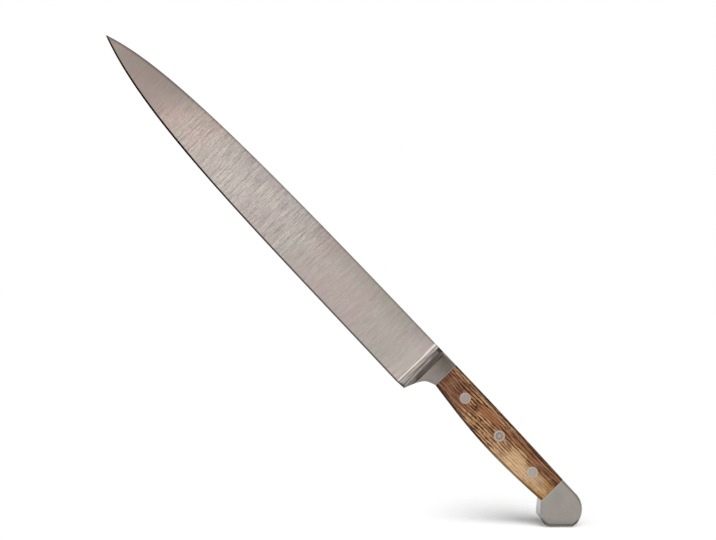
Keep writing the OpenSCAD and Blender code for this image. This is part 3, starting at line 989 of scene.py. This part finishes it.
def dot_cutters(x, y):
    """Small cones in a ring on a rivet's head."""
    profile = [
        (DOT_FLOOR_R, half_w - DOT_DEPTH),
        (DOT_R, half_w + DOT_OVER),
        (DOT_R, half_w + CUT_OVER),
    ]
    turns = [math.tau * k / DOTS for k in range(DOTS)]
    places = [(x + DOT_RING_R * math.cos(a), y + DOT_RING_R * math.sin(a)) for a in turns]
    return [make_cutter(profile, centre) for centre in places]


def make_rivet(name, dotted):
    x, y, head_r = rivet_centre(name)
    stud_r, seat, shank_end = STUD_D / 2, half_w - HEAD_T, HEAD_T / 2 - half_w
    profile = [(stud_r, shank_end), (stud_r, seat), (head_r, seat), *head_face(head_r, half_w, 1)]
    stud = turned_piece(name + "_stud_steel", profile, (x, y))
    if dotted:
        cut(stud, dot_cutters(x, y))
    bore, tube_end = stud_r + RIVET_FIT, seat - END_GAP
    profile = [
        *head_face(head_r, -half_w, -1)[::-1],
        (head_r, -seat),
        (SLEEVE_D / 2, -seat),
        (SLEEVE_D / 2, tube_end),
        (bore, tube_end),
        (bore, shank_end - END_GAP),
    ]
    sleeve = turned_piece(name + "_sleeve_steel", profile, (x, y))
    for piece, half in ((stud, "_stud"), (sleeve, "_sleeve")):
        even_normals(piece)
        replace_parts(piece, name + half)


# Camera, floor and light


def make_camera():
    data = bpy.data.cameras.new("camera")
    data.lens = CAMERA_LENS
    camera = bpy.data.objects.new("camera", data)
    camera.location = place((CAMERA_X, CAMERA_Y, CAMERA_Z))
    camera.rotation_euler = (0, 0, math.radians(CAMERA_TURN))
    bpy.context.scene.collection.objects.link(camera)
    bpy.context.scene.camera = camera


def studio_way(right, up, near):
    """A direction of the picture, from its share to the right, up and towards the camera."""
    turn = math.radians(CAMERA_TURN)
    across = Vector((math.cos(turn), math.sin(turn), 0))
    along = Vector((-math.sin(turn), math.cos(turn), 0))
    return across * right + along * up + Vector((0, 0, near))


def find_foot(butt):
    """The middle of the butt's lowest points in the picture, on the level of the lowest one."""
    upright = studio_way(0, 1, 0)
    lowest = min(v.co.dot(upright) for v in butt.data.vertices)
    standing = [v.co for v in butt.data.vertices if v.co.dot(upright) < lowest + FOOT_LEVEL * MM]
    foot = sum(standing, Vector()) / len(standing)
    return foot + upright * (lowest - foot.dot(upright))


def floor_finish(foot):
    """A patch that shows the knife's shadow, fading into a plain white glow round it.

    In the steel the floor shows painted shade beside the foot, and is clear where the steel
    touches it. From below it is clear as well, so that it hides nothing.
    """
    g = new_material("floor_white")
    g.nodes.remove(g.nodes["Principled BSDF"])
    path = g.node("ShaderNodeLightPath").outputs
    seen = g.most(path["Is Camera Ray"], path["Is Glossy Ray"])

    middle = foot / MM + studio_way(-SHADOW_LEFT, 0, -SHADOW_BACK)
    slim = (1, 1, SHADOW_SLIM)
    from_middle = g.length(g.millimetres(slim, [-v * share for v, share in zip(middle, slim)]))
    from_foot = g.length(g.millimetres(shift=[-v / MM for v in foot]))
    # Painted shade in the floor as the steel mirrors it, near the foot.
    beside = g.times(path["Is Glossy Ray"], g.remap(from_foot, FOOT_FAR, FOOT_NEAR))
    patch = g.remap(from_middle, 0, SHADOW_REACH, PATCH_ALBEDO, 0)
    patch = g.times(patch, g.minus(1.0, g.times(beside, FOOT_PAINTED_SHADE)))
    glow = g.remap(from_middle, 0, SHADOW_REACH, 0, GLOW)
    glow = g.times(glow, seen, g.minus(1.0, beside))

    albedo = g.node("ShaderNodeMix", {0: seen, 2: BOUNCE_ALBEDO, 3: patch}).outputs[0]
    grey = g.node("ShaderNodeCombineColor", {0: albedo, 1: albedo, 2: albedo}).outputs[0]
    diffuse = g.node("ShaderNodeBsdfDiffuse", {"Color": grey}).outputs[0]
    emission = g.node("ShaderNodeEmission", {"Strength": glow}).outputs[0]
    both = g.node("ShaderNodeAddShader", {0: diffuse, 1: emission}).outputs[0]

    touching = g.remap(path["Ray Length"], CONTACT_FAR * MM, CONTACT_NEAR * MM)
    touching = g.times(touching, path["Is Glossy Ray"])
    below = g.node("ShaderNodeNewGeometry").outputs["Backfacing"]
    clear = g.node("ShaderNodeBsdfTransparent").outputs[0]
    shader = g.node("ShaderNodeMixShader", {0: g.most(below, touching), 1: both, 2: clear})
    g.set(g.nodes["Material Output"].inputs["Surface"], shader.outputs[0])
    return g.owner


def make_floor(foot):
    """A floor under the foot, square to the picture."""
    corners = [
        foot + studio_way(FLOOR_HALF * right, -FLOOR_DROP * MM, FLOOR_HALF * near)
        for right, near in ((-1, 1), (1, 1), (1, -1), (-1, -1))
    ]
    floor = new_object("floor", corners, [(0, 1, 2, 3)])
    floor.data.materials.append(floor_finish(foot))
    return floor


def make_world():
    """White light from the camera's side, weak level with the picture, and a white backdrop."""
    world = bpy.data.worlds.new("studio")
    bpy.context.scene.world = world
    g = Graph(world)
    depth = g.xyz(g.node("ShaderNodeTexCoord").outputs["Generated"])["Z"]
    path = g.node("ShaderNodeLightPath").outputs
    sky = g.most(
        g.remap(depth, 0, 1, SKY_SIDE, SKY_FRONT, soft=False),
        g.remap(depth, 0, -1, SKY_SIDE, SKY_BACK, soft=False),
    )
    mirrored = g.most(path["Is Glossy Ray"], path["Is Transmission Ray"])
    behind = g.times(mirrored, g.remap(depth, 0, -BACKDROP_EDGE, soft=False))
    seen = g.most(behind, path["Is Camera Ray"])
    background = g.nodes["Background"].inputs
    background["Color"].default_value = (1, 1, 1, 1)
    g.set(background["Strength"], g.remap(seen, 0, 1, sky, BACKDROP, soft=False))


def add_softbox(name, at, aim, size, watts):
    data = bpy.data.lights.new(name, "AREA")
    data.shape = "RECTANGLE"
    data.size, data.size_y = size
    data.energy = watts
    light = bpy.data.objects.new(name, data)
    light.location = at
    light.rotation_euler = (Vector(aim) - Vector(at)).to_track_quat("-Z", "Y").to_euler()
    bpy.context.scene.collection.objects.link(light)
    return light


make_camera()
blade = make_blade()
tang = make_tang()
butt = make_butt()
for part in (blade, tang, butt):
    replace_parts(part, "blade_forging")
for node_name, side_sign, wood in (("scale_left", 1, oak_left), ("scale_right", -1, oak_right)):
    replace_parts(make_scale("oak_" + node_name, side_sign, wood), node_name)
for rivet_name in RIVETS:
    make_rivet(rivet_name, rivet_name == "middle_rivet")

foot = find_foot(butt)
make_world()
floor_only = bpy.data.collections.new("floor_only")
floor_only.objects.link(make_floor(foot))
for lamp_name, way, size, watts in (
    ("floor_lamp", LAMP_WAY, LAMP_SIZE, LAMP_WATTS),
    ("floor_fill", FILL_WAY, FILL_SIZE, FILL_WATTS),
):
    at = foot + studio_way(*(LAMP_FAR * share for share in way))
    lamp = add_softbox(lamp_name, at, foot, (size, size), watts)
    lamp.light_linking.receiver_collection = floor_only
add_softbox("strip", STRIP_AT, STRIP_AIM, STRIP_SIZE, STRIP_WATTS)

bpy.context.scene.view_settings.view_transform = "Standard"
